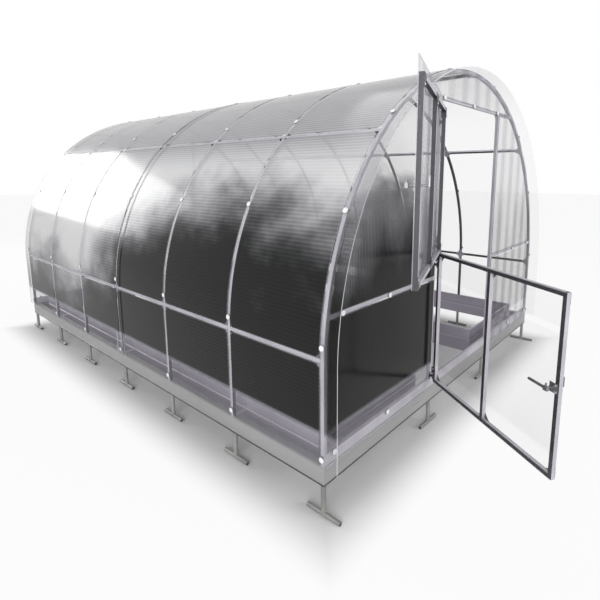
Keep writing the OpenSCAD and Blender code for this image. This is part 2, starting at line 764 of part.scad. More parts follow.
// Strap bent over a panel's rib, from the panel at the origin to the top of a base beam along +X
module bed_strap(reach) {
  rib_z = bed_h / 2 + 2 * bed_rib;
  foot = rib_z - base_h;
  translate([0, strap_w / 2, 0]) rotate([90, 0, 0]) linear_extrude(strap_w) polygon([
    [fit, rib_z + strap_w], [fit + plate_t, rib_z + strap_w], [fit + plate_t, rib_z + 2],
    [fit + foot + plate_t, base_h + plate_t], [reach, base_h + plate_t], [reach, base_h],
    [fit + foot + 1, base_h], [fit, rib_z + 1]
  ]);
}

// Angle posts in the corners of the beds, plates behind the joints of their sides, and the
// straps that tie the beds to the base beams
module bed_brackets() color(galvanised) for (s = [0, 1]) mirror([s, 0, 0]) {
  for (y = strap_ys) translate([bed_out, y, 0]) bed_strap(bed_gap - tube - strap_clear);
  for (t = [0, 1]) mirror([0, t, 0]) translate([bed_out - bed_strap_in, -bed_y, 0]) rotate([0, 0, -90])
    bed_strap(bed_end - tube / 2 - strap_clear);
  z1 = bed_h - bed_t - fit;
  gap = bed_t + fit;
  for (t = [0, 1], side = [[bed_in, 1], [bed_out, -1]]) mirror([0, t, 0])
    translate([side[0], -bed_y, 0]) scale([side[1], 1, 1]) translate([gap, gap, 0])
      linear_extrude(z1) polygon([
        [0, 0], [bed_leg, 0], [bed_leg, bed_t], [bed_t, bed_t], [bed_t, bed_leg], [0, bed_leg]
      ]);
  for (side = [[bed_in, 1], [bed_out, -1]]) translate([side[0], 0, 0]) scale([side[1], 1, 1])
    translate([gap, -bed_leg / 2, 0]) cube([bed_t, bed_leg, z1]);
}

// Door leaves, 0 the lower and 1 the upper. They are drawn shut and then turned about the hinge
// axis to where they stand open.
module swing(i) {
  translate([hinge_x, hinge_y, 0]) rotate([0, 0, -leaf_open[i]])
    translate([-hinge_x, -hinge_y, 0]) children();
}

// Joints of a leaf's frame, as for the gable frames
function leaf_joints(i) = let (
  x = leaf_half - tube / 2,
  b = leaf_zs[i][0] + tube / 2,
  t = leaf_zs[i][1] - tube / 2
) [
  [-x, b, [0, 90]], [0, b, [0, 90, 180]], [x, b, [90, 180]],
  [-x, t, [0, 270]], [0, t, [0, 180, 270]], [x, t, [180, 270]]
];

// Screws of the hinge wings and the latch plate in a leaf's stiles
function leaf_face_screws(i) = concat(
  [for (z = hinge_zs[i], dz = hinge_screw_zs) [tube / 2 - leaf_half, z + half_len + fit + dz]],
  [for (s = [-1, 1]) [leaf_half - tube / 2, latch_zs[i] + s * latch_screw_dz]]
);
module at_face_screws(i, y) {
  for (p = leaf_face_screws(i)) translate([p[0], y, p[1]]) rotate([90, 0, 0]) children();
}

module leaf_frame(i) {
  y = leaf_frame_y - tube / 2;
  z0 = leaf_zs[i][0];
  z1 = leaf_zs[i][1];
  difference() {
    union() {
      for (x = [tube / 2 - leaf_half, leaf_half - tube / 2]) tube_z(x, y, z0, z1);
      tube_z(0, y, z0 + tube, z1 - tube);
      for (z = [z0 + tube / 2, z1 - tube / 2]) tube_x(tube - leaf_half, leaf_half - tube, y, z);
    }
    at_joint_screws(leaf_joints(i), leaf_frame_y) screw_hole();
    at_face_screws(i, leaf_frame_y - tube) screw_hole();
  }
}

// Gussets on the inside of a leaf, cut off along its edges
module leaf_gussets(i) {
  intersection() {
    at_joints(leaf_joints(i), leaf_in_y) gusset($directions);
    translate([1 - leaf_half, leaf_in_y - 2 * plate_t, leaf_zs[i][0] + 1])
      cube([2 * leaf_half - 2, 4 * plate_t, leaf_zs[i][1] - leaf_zs[i][0] - 2]);
  }
}

module leaf_sheet(i) {
  z0 = leaf_zs[i][0] + 1;
  difference() {
    translate([1 - leaf_half, leaf_face_y, z0]) cube([2 * leaf_half - 2, sheet_t, sheet_tops[i] - z0]);
    translate([latch_x, leaf_face_y - 1, latch_zs[i]]) rotate([-90, 0, 0])
      cylinder(h = sheet_t + 2, r = spindle_r + 1);
    at_face_screws(i, leaf_face_y + sheet_t / 2)
      cylinder(h = sheet_t + 2, r = hole_r, center = true, $fn = 24);
  }
}

// Fixed half of a lift-off hinge: wing on the gable, arm, knuckle and pin
module hinge_fixed() {
  difference() {
    translate([hinge_x - wing_w, wing_y - wing_t, 0]) cube([wing_w + 2, wing_t, half_len]);
    for (z = hinge_screw_zs) translate([hinge_screw_x, wing_y, z]) rotate([90, 0, 0])
      cylinder(h = 3 * wing_t, r = hole_r, center = true, $fn = 24);
  }
  translate([hinge_x - 3, hinge_y, 0.3 * half_len])
    cube([5, wing_y - wing_t - hinge_y + eps, 0.4 * half_len]);
  translate([hinge_x, hinge_y, 0]) {
    cylinder(h = half_len, r = knuckle_r);
    cylinder(h = hinge_len - 2, r = pin_r);
  }
}
module hinge_post_halves() color(dark_metal)
  for (leaf = hinge_zs, z = leaf) translate([0, 0, z]) hinge_fixed();

// Moving half: knuckle with a bore, arm and a wing on the leaf's sheet
wing_face = leaf_face_y - fit;
module hinge_moving() {
  translate([0, 0, half_len + fit]) difference() {
    union() {
      translate([hinge_x, hinge_y, 0]) cylinder(h = half_len, r = knuckle_r);
      translate([hinge_x, wing_face - wing_t, 0]) cube([2 * wing_w, wing_t, half_len]);
      translate([hinge_x - 3, wing_face - wing_t, 0]) cube([6, hinge_y - wing_face + wing_t, half_len]);
    }
    translate([hinge_x, hinge_y, -1]) cylinder(h = half_len + 2, r = pin_r + pin_clear);
    for (z = hinge_screw_zs) translate([tube / 2 - leaf_half, wing_face, z]) rotate([90, 0, 0])
      cylinder(h = 3 * wing_t, r = hole_r, center = true, $fn = 24);
  }
}

// Latch plate on the leaf's outside, with a boss for the spindle
module latch_plate(i) {
  translate([latch_x, wing_face, latch_zs[i]]) difference() {
    union() {
      translate([-latch_edge, -plate_t, -latch_plate_h / 2])
        cube([leaf_half - latch_x + latch_edge - latch_rim, plate_t, latch_plate_h]);
      rotate([90, 0, 0]) cylinder(h = plate_t + latch_boss, r = spindle_r + boss_wall);
    }
    translate([0, 1, 0]) rotate([90, 0, 0])
      cylinder(h = plate_t + latch_boss + 2, r = spindle_r + spindle_clear);
    for (s = [-1, 1]) translate([leaf_half - tube / 2 - latch_x, 1, s * latch_screw_dz])
      rotate([90, 0, 0]) cylinder(h = plate_t + 2, r = hole_r, $fn = 24);
  }
}

// Latch handle: lever with a rounded end, hub, spindle and the tongue inside
module latch_handle(i) {
  lever_y = wing_face - plate_t - lever_off;
  tongue_y = -gable_y + tube + 1;
  translate([latch_x, 0, latch_zs[i]]) {
    translate([0, tongue_y + tongue_t, 0]) rotate([90, 0, 0])
      cylinder(h = tongue_y + tongue_t - lever_y, r = spindle_r);
    translate([-tongue_w / 2, tongue_y, -tongue_w / 2]) cube([tongue_w, tongue_t, tongue_len]);
    translate([-hub_w / 2, lever_y - lever_r, -hub_w / 2]) cube([hub_w, 2 * lever_r, hub_w]);
    translate([0, lever_y, 0]) rotate([0, -90, 0]) cylinder(h = lever_len - lever_r, r = lever_r);
    translate([lever_r - lever_len, lever_y, 0]) sphere(r = lever_r);
    translate([0, lever_y, 0]) cylinder(h = hub_w / 2 + thumb_rise, r = lever_r * 0.6);
  }
}

// Screws of a leaf: in its gussets, hinge wings and latch plate
module leaf_screws(i) {
  at_joint_screws(leaf_joints(i), leaf_in_y) rotate([0, -90, 0]) screw(plate_t + fit + tube_wall + thread);
  for (p = leaf_face_screws(i)) translate([p[0], wing_face - (p[0] < 0 ? wing_t : plate_t), p[1]])
    rotate([-90, 0, 0]) rotate([0, -90, 0]) screw(wing_t + sheet_t + 2 * fit + tube_wall + thread);
}

module lower_door_frame() color(galvanised) swing(0) leaf_frame(0);
module lower_door_gussets() color(dark_metal) swing(0) leaf_gussets(0);
module lower_door_screws() color(galvanised) swing(0) leaf_screws(0);
module lower_door_sheet() color(sheet_colour) swing(0) leaf_sheet(0);
module lower_door_hinges() color(dark_metal) swing(0)
  for (z = hinge_zs[0]) translate([0, 0, z]) hinge_moving();
module lower_latch_plate() color(latch_metal) swing(0) latch_plate(0);
module lower_latch_handle() color(latch_metal) swing(0) latch_handle(0);

module upper_door_frame() color(galvanised) swing(1) leaf_frame(1);
module upper_door_gussets() color(dark_metal) swing(1) leaf_gussets(1);
module upper_door_screws() color(galvanised) swing(1) leaf_screws(1);
module upper_door_sheet() color(sheet_colour) swing(1) leaf_sheet(1);
module upper_door_hinges() color(dark_metal) swing(1)
  for (z = hinge_zs[1]) translate([0, 0, z]) hinge_moving();
module upper_latch_plate() color(latch_metal) swing(1) latch_plate(1);
module upper_latch_handle() color(latch_metal) swing(1) latch_handle(1);

base_front_beam();
base_back_beam();
base_left_beams();
base_right_beams();
base_splices();
base_corner_angles();
ground_anchors();
arch_1();
arch_2();
arch_3();
arch_4();
arch_5();
arch_6();
arch_7();
rails_lower_left();
rails_lower_right();
purlins_left();
purlins_right();
ridge_purlins();
crab_plates_lower();
crab_plates_upper();
crab_plates_ridge();
frame_screws();
front_door_posts();
front_header();
front_tie_bars();
front_sill();
front_gussets();
back_posts();
back_header();
back_bars();
back_gussets();
roof_sheet_front();
roof_sheet_back();
gable_sheet_front_left();
gable_sheet_front_right();
gable_sheet_front_top();
gable_sheet_back();
roof_washer_caps();
roof_washer_rings();
gable_washer_caps();
gable_washer_rings();
bed_left();
bed_right();
bed_brackets();
hinge_post_halves();
lower_door_frame();
lower_door_gussets();
lower_door_screws();
lower_door_sheet();
lower_door_hinges();
lower_latch_plate();
lower_latch_handle();
upper_door_frame();
upper_door_gussets();
upper_door_screws();
upper_door_sheet();
upper_door_hinges();
upper_latch_plate();
upper_latch_handle();
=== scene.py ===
import math
import re
import bpy
import bmesh
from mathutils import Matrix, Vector

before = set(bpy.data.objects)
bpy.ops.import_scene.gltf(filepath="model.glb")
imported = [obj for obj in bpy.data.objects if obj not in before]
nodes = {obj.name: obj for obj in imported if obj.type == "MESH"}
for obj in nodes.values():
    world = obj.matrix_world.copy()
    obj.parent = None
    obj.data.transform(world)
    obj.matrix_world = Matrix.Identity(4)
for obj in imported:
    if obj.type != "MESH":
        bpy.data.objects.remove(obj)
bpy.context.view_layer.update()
print("frame loaded with", len(nodes), "nodes")

# the arches are bent round this centre height, and the tubes lie at these places
arch = {"radius": 1.5, "centreZ": 0.585, "firstY": -2.01, "bay": 0.67}
tubes = {"half": 0.010, "railAngles": (1.0, 45.0, 90.0), "tieZ": 0.808, "sillZ": (0.100, 0.155)}
frameEndY = tubes["half"] - arch["firstY"]

# degrees from shut to the place in which each leaf is modelled
leafTurns = {"lower": 121.8, "upper": 159.3}


# camera at the photograph's place

camera = {
    "place": (-2.86798, -3.21273, 1.42749),
    "turn": (80.9126, -0.0253, -49.7653),
    "lens": 26.11,
    "sensor": 36.0,
    "shift": (-0.0499, -0.0918),
    "farthest": 200.0,
}


def makeCamera(values):
    data = bpy.data.cameras.new("camera")
    data.lens = values["lens"]
    data.sensor_width = values["sensor"]
    data.shift_x, data.shift_y = values["shift"]
    data.clip_end = values["farthest"]
    made = bpy.data.objects.new("camera", data)
    made.location = values["place"]
    made.rotation_euler = [math.radians(a) for a in values["turn"]]
    bpy.context.scene.collection.objects.link(made)
    bpy.context.scene.camera = made
    print("camera placed")


# node helpers

def addNode(tree, kind, **settings):
    node = tree.nodes.new(kind)
    for key, value in settings.items():
        setattr(node, key, value)
    return node


def join(tree, source, target):
    tree.links.new(source, target)


def startMaterial(name):
    material = bpy.data.materials.new(name)
    material.use_nodes = True
    return material, material.node_tree, material.node_tree.nodes["Principled BSDF"]


def maths(tree, operation, first, second=None, third=None, clamp=False):
    node = addNode(tree, "ShaderNodeMath", operation=operation, use_clamp=clamp)
    for place, value in enumerate((first, second, third)):
        if value is None:
            continue
        if isinstance(value, (int, float)):
            node.inputs[place].default_value = value
        else:
            join(tree, value, node.inputs[place])
    return node.outputs[0]


def product(tree, first, *others):
    for other in others:
        first = maths(tree, "MULTIPLY", first, other)
    return first


def between(tree, factor, atZero, atOne):
    return maths(tree, "MULTIPLY_ADD", factor, atOne - atZero, atZero)


def distanceTo(tree, value, place):
    return maths(tree, "ABSOLUTE", maths(tree, "SUBTRACT", value, place))


def diagonal(tree, first, second):
    squares = maths(tree, "MULTIPLY_ADD", first, first, maths(tree, "MULTIPLY", second, second))
    return maths(tree, "SQRT", squares)


def ramp(tree, value, low, high, toLow=0.0, toHigh=1.0):
    node = addNode(tree, "ShaderNodeMapRange", interpolation_type="SMOOTHSTEP")
    join(tree, value, node.inputs["Value"])
    for name, number in (("From Min", low), ("From Max", high), ("To Min", toLow), ("To Max", toHigh)):
        node.inputs[name].default_value = number
    return node.outputs["Result"]


def objectPoint(tree, stretch=(1, 1, 1), turn=(0, 0, 0)):
    coords = addNode(tree, "ShaderNodeTexCoord")
    mapping = addNode(tree, "ShaderNodeMapping")
    mapping.inputs["Scale"].default_value = stretch
    mapping.inputs["Rotation"].default_value = [math.radians(a) for a in turn]
    join(tree, coords.outputs["Object"], mapping.inputs["Vector"])
    return mapping.outputs["Vector"]


def objectNormal(tree):
    return addNode(tree, "ShaderNodeTexCoord").outputs["Normal"]


def splitVector(tree, vector):
    node = addNode(tree, "ShaderNodeSeparateXYZ")
    join(tree, vector, node.inputs[0])
    return node.outputs


def vectorDot(tree, first, second):
    node = addNode(tree, "ShaderNodeVectorMath", operation="DOT_PRODUCT")
    join(tree, first, node.inputs[0])
    if isinstance(second, tuple):
        node.inputs[1].default_value = second
    else:
        join(tree, second, node.inputs[1])
    return node.outputs["Value"]


def noise(tree, point, scale, detail, roughness=0.55):
    node = addNode(tree, "ShaderNodeTexNoise")
    node.inputs["Scale"].default_value = scale
    node.inputs["Detail"].default_value = detail
    node.inputs["Roughness"].default_value = roughness
    join(tree, point, node.inputs["Vector"])
    return node.outputs["Fac"]


def blendColours(tree, factor, first, second):
    node = addNode(tree, "ShaderNodeMix", data_type="RGBA")
    join(tree, factor, node.inputs["Factor"])
    for place, value in (("A", first), ("B", second)):
        socket = [s for s in node.inputs if s.name == place and s.type == "RGBA"][0]
        if isinstance(value, tuple):
            socket.default_value = (*value, 1.0)
        else:
            join(tree, value, socket)
    return [s for s in node.outputs if s.type == "RGBA"][0]


def mixShaders(tree, factor, first, second):
    node = addNode(tree, "ShaderNodeMixShader")
    join(tree, factor, node.inputs[0])
    join(tree, first.outputs[0], node.inputs[1])
    join(tree, second.outputs[0], node.inputs[2])
    return node.outputs[0]


def addBump(tree, shader, height, strength, depth):
    bump = addNode(tree, "ShaderNodeBump")
    bump.inputs["Strength"].default_value = strength
    bump.inputs["Distance"].default_value = depth
    join(tree, height, bump.inputs["Height"])
    join(tree, bump.outputs["Normal"], shader.inputs["Normal"])


# studio: white world, pale floor and four soft lamps

studio = {
    "worldFill": 0.30,
    "floorZ": -0.1685,
    "floorSize": 80.0,
    "floorColour": (0.80, 0.80, 0.80, 1.0),
    "floorRoughness": 0.9,
    "floorGloss": 0.1,
    "floorHalf": (1.5, 2.02),
    "whiteFrom": (-0.02, 0.30),
    "shadowShare": 0.07,
    "lampAim": (0.0, 0.0, 0.6),
    "lamps": [
        ("topLamp", (0.8, 0.0, 7.0), (5.0, 5.0), 110.0),
        ("keyLamp", (-7.0, -4.6, 2.1), (4.5, 3.4), 330.0),
        ("frontLamp", (1.5, -8.0, 2.2), (3.0, 2.0), 160.0),
        ("glareLamp", (-3.0, 8.2, 3.6), (4.5, 3.4), 240.0),
    ],
}


def plainSeen(tree):
    # 1 for the rays that see the background itself, in glass and metal too
    rays = addNode(tree, "ShaderNodeLightPath").outputs
    seen = maths(tree, "MAXIMUM", rays["Is Camera Ray"], rays["Is Glossy Ray"])
    return maths(tree, "MAXIMUM", seen, rays["Is Transmission Ray"])


def makeWorld(values):
    world = bpy.data.worlds.new("studioWorld")
    bpy.context.scene.world = world
    world.use_nodes = True
    tree = world.node_tree
    tree.nodes.clear()
    seen = addNode(tree, "ShaderNodeBackground")
    fill = addNode(tree, "ShaderNodeBackground")
    for background, strength in ((seen, 1.0), (fill, values["worldFill"])):
        background.inputs["Color"].default_value = (1.0, 1.0, 1.0, 1.0)
        background.inputs["Strength"].default_value = strength
    out = addNode(tree, "ShaderNodeOutputWorld")
    join(tree, mixShaders(tree, plainSeen(tree), fill, seen), out.inputs["Surface"])


def whiteFloor(tree, shader, values):
    # outside the walls the floor runs out to the white of the world and keeps a soft shadow
    places = splitVector(tree, objectPoint(tree))
    gaps = []
    for axis, half in enumerate(values["floorHalf"]):
        gaps.append(maths(tree, "SUBTRACT", maths(tree, "ABSOLUTE", places[axis]), half))
    whitest = 1.0 - values["shadowShare"]
    # painted shade: the glow is left out inside the greenhouse's footprint, so the floor under it stays
    # darker
    spread = ramp(tree, maths(tree, "MAXIMUM", *gaps), *values["whiteFrom"], 0.0, whitest)
    glow = addNode(tree, "ShaderNodeEmission")
    mixed = mixShaders(tree, product(tree, spread, plainSeen(tree)), shader, glow)
    join(tree, mixed, tree.nodes["Material Output"].inputs["Surface"])


def makeFloor(values):
    mesh = bpy.data.meshes.new("studioFloor")
    shape = bmesh.new()
    bmesh.ops.create_grid(shape, x_segments=1, y_segments=1, size=values["floorSize"] / 2)
    bmesh.ops.translate(shape, vec=(0, 0, values["floorZ"]), verts=shape.verts)
    shape.to_mesh(mesh)
    shape.free()
    floor = bpy.data.objects.new("studioFloor", mesh)
    bpy.context.scene.collection.objects.link(floor)
    material, tree, shader = startMaterial("paleFloor")
    shader.inputs["Base Color"].default_value = values["floorColour"]
    shader.inputs["Roughness"].default_value = values["floorRoughness"]
    shader.inputs["Specular IOR Level"].default_value = values["floorGloss"]
    whiteFloor(tree, shader, values)
    mesh.materials.append(material)


def makeLamps(values):
    for name, place, size, power in values["lamps"]:
        data = bpy.data.lights.new(name, "AREA")
        data.shape = "RECTANGLE"
        data.size, data.size_y = size
        data.energy = power
        lamp = bpy.data.objects.new(name, data)
        lamp.location = place
        towards = Vector(values["lampAim"]) - Vector(place)
        lamp.rotation_euler = towards.to_track_quat("-Z", "Y").to_euler()
        bpy.context.scene.collection.objects.link(lamp)


def makeStudio(values):
    makeWorld(values)
    makeFloor(values)
    makeLamps(values)
    print("studio built")


# faces that catch the light are told from the ones in the tube's own shade by their direction

litFrom = {"upward": (-0.5, -0.1), "towards": (0.35, 0.55)}


def riseOverCentre(tree, z):
    return maths(tree, "MAXIMUM", maths(tree, "SUBTRACT", z, arch["centreZ"]), 0.0)


def fromArchAxis(tree):
    # points away from the line that the arches are bent round, or straight out below it
    x, _, z = splitVector(tree, objectPoint(tree))
    gather = addNode(tree, "ShaderNodeCombineXYZ")
    join(tree, x, gather.inputs[0])
    join(tree, riseOverCentre(tree, z), gather.inputs[2])
    unit = addNode(tree, "ShaderNodeVectorMath", operation="NORMALIZE")
    join(tree, gather.outputs[0], unit.inputs[0])
    return unit.outputs["Vector"]


def alongLeaf(leaf):
    angle = math.radians(leafTurns[leaf])
    return (-math.cos(angle), math.sin(angle), 0.0)


def squareToLeaf(leaf):
    angle = math.radians(leafTurns[leaf])
    return (math.sin(angle), math.cos(angle), 0.0)


def litFace(tree, rule):
    # 1 on a lit face, 0 on a shaded one
    normal = objectNormal(tree)
    upward = vectorDot(tree, normal, (0.0, 0.0, 1.0))
    if rule == "upward":
        return ramp(tree, upward, *litFrom["upward"])
    if rule == "outward":
        towards = vectorDot(tree, normal, fromArchAxis(tree))
    else:
        towards = maths(tree, "ABSOLUTE", vectorDot(tree, normal, rule))
    return ramp(tree, maths(tree, "MAXIMUM", towards, upward), *litFrom["towards"])


# zinc-coated and plain steel: a broad change of tone, fine spangle and a few bright flecks

grain = {
    "broadDetail": 4.0, "fineDetail": 2.0, "spread": (0.3, 0.7),
    "flecks": (0.62, 0.78), "fleckShare": 0.5, "bump": (0.25, 0.0004),
}
tubeZinc = {
    "dark": (0.43, 0.41, 0.46), "light": (0.54, 0.52, 0.57), "bright": (0.70, 0.68, 0.73),
    "broad": 5.0, "fine": 160.0, "roughness": (0.40, 0.58), "metallic": 0.4,
}
innerZincPaintedShade = dict(tubeZinc, litRule="outward", shade=(0.085, 0.08, 0.09))
lowerLeafZincPaintedShade = dict(innerZincPaintedShade, litRule=alongLeaf("lower"), shade=(0.04, 0.038, 0.045))
upperLeafZincPaintedShade = dict(innerZincPaintedShade, litRule=squareToLeaf("upper"), shade=(0.05, 0.048, 0.055))
anchorZincPaintedShade = dict(
    tubeZinc, dark=(0.22, 0.22, 0.21), light=(0.36, 0.36, 0.35), bright=(0.55, 0.55, 0.54),
    litRule="upward", shade=(0.03, 0.03, 0.03))
screwZinc = dict(
    tubeZinc, dark=(0.42, 0.42, 0.44), light=(0.55, 0.55, 0.58), broad=80.0, fine=400.0)
beamAlongX = {
    "dark": (0.29, 0.29, 0.29), "light": (0.37, 0.37, 0.37), "bright": (0.52, 0.52, 0.52),
    "broad": 3.0, "fine": 90.0, "roughness": (0.35, 0.55), "metallic": 0.55,
    "stretch": (0.12, 1, 1), "hemZ": (0.007, 0.010), "hem": (0.05, 0.05, 0.05),
}
beamAlongY = dict(beamAlongX, stretch=(1, 0.12, 1))
# near black steel, also used as painted shade on the door gussets
darkSteelAndShade = {
    "dark": (0.030, 0.030, 0.034), "light": (0.055, 0.055, 0.062), "bright": (0.16, 0.16, 0.18),
    "broad": 30.0, "fine": 300.0, "roughness": (0.32, 0.5), "metallic": 0.35,
}
latchSteel = {
    "dark": (0.16, 0.16, 0.17), "light": (0.26, 0.26, 0.27), "bright": (0.45, 0.45, 0.47),
    "broad": 30.0, "fine": 300.0, "roughness": (0.28, 0.45), "metallic": 0.7,
}
bedSteel = {
    "dark": (0.42, 0.385, 0.46), "light": (0.54, 0.50, 0.59), "bright": (0.66, 0.62, 0.70),
    "broad": 2.0, "fine": 120.0, "roughness": (0.3, 0.5), "metallic": 0.35,
}


def metalMaterial(name, values):
    material, tree, shader = startMaterial(name)
    point = objectPoint(tree, values.get("stretch", (1, 1, 1)))
    broad = noise(tree, point, values["broad"], grain["broadDetail"])
    fine = noise(tree, point, values["fine"], grain["fineDetail"])
    colour = blendColours(tree, ramp(tree, broad, *grain["spread"]), values["dark"], values["light"])
    flecks = ramp(tree, fine, *grain["flecks"], 0.0, grain["fleckShare"])
    colour = blendColours(tree, flecks, colour, values["bright"])
    # painted shade: faces in the tube's own shade take the dark shade colour
    if "litRule" in values:
        colour = blendColours(tree, litFace(tree, values["litRule"]), values["shade"], colour)
    if "hemZ" in values:
        # painted shade: the bottom edge of the base beams is coloured dark
        height = splitVector(tree, objectPoint(tree))[2]
        colour = blendColours(tree, ramp(tree, height, *values["hemZ"]), values["hem"], colour)
    join(tree, colour, shader.inputs["Base Color"])
    join(tree, ramp(tree, fine, *grain["spread"], *values["roughness"]), shader.inputs["Roughness"])
    shader.inputs["Metallic"].default_value = values["metallic"]
    addBump(tree, shader, fine, *grain["bump"])
    return material


# polycarbonate sheet: clear, finely fluted and hazy high up, with a dark film of painted shade and
# reflection towards the ground.
# a noise is given as its stretch, scale, detail and, where it isn't the usual one, roughness

tunnelSheet = {
    "curved": True, "pitch": 0.020, "wave": 0.0, "lineFrom": (-0.4, 1.0), "bump": (0.06, 0.0003),
    "drift": ((0.6, 2.2, 0.6), 1.0, 1.0), "streak": ((1.0, 0.75, 1.0), 1.9, 4.0),
    "clear": (0.26, 0.255, 0.29), "edge": (0.88, 0.88, 0.92), "alphaClear": 0.13,
    "clearShare": 0.3, "tubeShare": 0.2, "clearEndY": (-1.15, -0.65), "clearEndX": (0.0, 0.9),
    "shadeReflectionColour": (0.012, 0.013, 0.012), "alphaShadeReflection": 0.86, "shadeReflectionZ": (1.45, 2.05), "streakLift": 1.1,
    "haze": (0.36, 0.36, 0.375), "alphaHaze": 0.68, "hazeZ": (1.45, 1.75), "hazeX": (-0.3, 0.2),
    "hazeStartY": (-2.03, -2.0), "hazeFadeY": (-0.5, 2.0), "hazeFar": 0.6,
    "veil": (0.74, 0.74, 0.75), "alphaVeil": 0.46, "veilZ": (0.35, 0.75), "veilX": (-0.6, -0.2),
    "lineTint": (0.20, 0.003), "lineAlpha": 0.02,
    "banding": 0.0, "bandPitch": 0.19, "bandFrom": (-0.6, 1.0),
    "cutAxis": 1, "cutFrom": (0.8, 0.95), "cutAlpha": 0.8,
    "roughness": 0.14, "ior": 1.42, "gloss": (0.5, 0.16),
}
gableSheet = dict(
    tunnelSheet, curved=False, pitch=0.012, wave=0.004, alphaShadeReflection=0.84, clearEndY=(-4.0, -3.0),
    alphaHaze=0.0, alphaVeil=0.0, cutAxis=2,
    drift=((2.0, 2.0, 0.4), 1.0, 1.0), streak=((2.5, 2.5, 0.8), 1.0, 3.0, 0.5))
backSheet = dict(gableSheet, alphaShadeReflection=0.06)
bandedSheet = dict(backSheet, banding=0.16)
lowerLeafSheet = dict(backSheet, alphaClear=0.04, alphaShadeReflection=0.04)
upperLeafSheet = dict(
    backSheet, clear=(0.40, 0.39, 0.44), alphaClear=0.32, alphaShadeReflection=0.14, banding=0.20)
sheetBands = {
    "overBed": (0.245, 0.285), "stripSoft": 0.008, "plateReach": 0.030, "overhang": 0.35,
    "riseFromY": (-0.5, 0.7), "rise": 0.62,
}


def offTube(tree, distance, half=tubes["half"]):
    # 0 where the sheet lies on a tube, 1 beside it
    return ramp(tree, distance, half, half + sheetBands["stripSoft"])


def arcLength(tree, x, z):
    # distance along the bent section, from the springing line
    rise = maths(tree, "SUBTRACT", z, arch["centreZ"])
    side = maths(tree, "ABSOLUTE", x)
    bent = maths(tree, "MULTIPLY", maths(tree, "ARCTAN2", rise, side), arch["radius"])
    return maths(tree, "ADD", maths(tree, "MINIMUM", rise, 0.0), maths(tree, "MAXIMUM", bent, 0.0))


def tunnelClear(tree, y, along, pastEnds):
    # clear strips over the arches, and over the rails and connectors as far as the end arches
    halfBay = arch["bay"] / 2
    shifted = maths(tree, "ADD", y, halfBay - arch["firstY"])
    toArch = distanceTo(tree, maths(tree, "MODULO", shifted, arch["bay"]), halfBay)
    clear = offTube(tree, toArch)
    for angle in tubes["railAngles"]:
        toRail = distanceTo(tree, along, arch["radius"] * math.radians(angle))
        offPlate = offTube(tree, diagonal(tree, toArch, toRail), sheetBands["plateReach"])
        offBoth = maths(tree, "MINIMUM", offTube(tree, toRail), offPlate)
        clear = maths(tree, "MINIMUM", clear, maths(tree, "MAXIMUM", offBoth, pastEnds))
    return clear


def gableClear(tree, x, z):
    # clear strips over the end arch, the tie bars and the sill
    toCentre = diagonal(tree, x, riseOverCentre(tree, z))
    offArch = offTube(tree, distanceTo(tree, toCentre, arch["radius"] - tubes["half"]))
    offTie = offTube(tree, distanceTo(tree, z, tubes["tieZ"]))
    bottom, top = tubes["sillZ"]
    offSill = offTube(tree, distanceTo(tree, z, (bottom + top) / 2), (top - bottom) / 2)
    return maths(tree, "MINIMUM", maths(tree, "MINIMUM", offArch, offTie), offSill)


def paintedShadeAndReflection(tree, values, place, offTubes, away):
    # painted shade and reflection: a dark film between the beds and the shoulders, in streaks, lower
    # towards the back
    _, y, z = place
    streak = noise(tree, objectPoint(tree, values["streak"][0]), *values["streak"][1:])
    level = maths(tree, "MULTIPLY_ADD", streak, values["streakLift"], z)
    further = ramp(tree, y, *sheetBands["riseFromY"])
    level = maths(tree, "MULTIPLY_ADD", further, sheetBands["rise"], level)
    shadeAndReflection = ramp(tree, level, *values["shadeReflectionZ"], 1.0, 0.0)
    return product(tree, shadeAndReflection, ramp(tree, z, *sheetBands["overBed"]), away, offTubes)


def sheetHaze(tree, values, place, offTubes):
    # haze over the crown, which softens the arches behind it
    x, y, z = place
    high = ramp(tree, z, *values["hazeZ"])
    leftward = ramp(tree, x, *values["hazeX"], 1.0, 0.0)
    behindFront = ramp(tree, y, *values["hazeStartY"])
    fading = ramp(tree, y, *values["hazeFadeY"], 1.0, values["hazeFar"])
    return product(tree, high, leftward, offTubes, behindFront, fading)


def sheetVeil(tree, values, place, offTubes, film, shadeAndReflection, haze):
    # a pale veil over the bright part of the side wall
    x, _, z = place
    leftward = ramp(tree, x, *values["veilX"], 1.0, 0.0)
    free = [maths(tree, "SUBTRACT", 1.0, covered) for covered in (shadeAndReflection, haze)]
    return product(tree, offTubes, leftward, ramp(tree, z, *values["veilZ"]), *free, film)


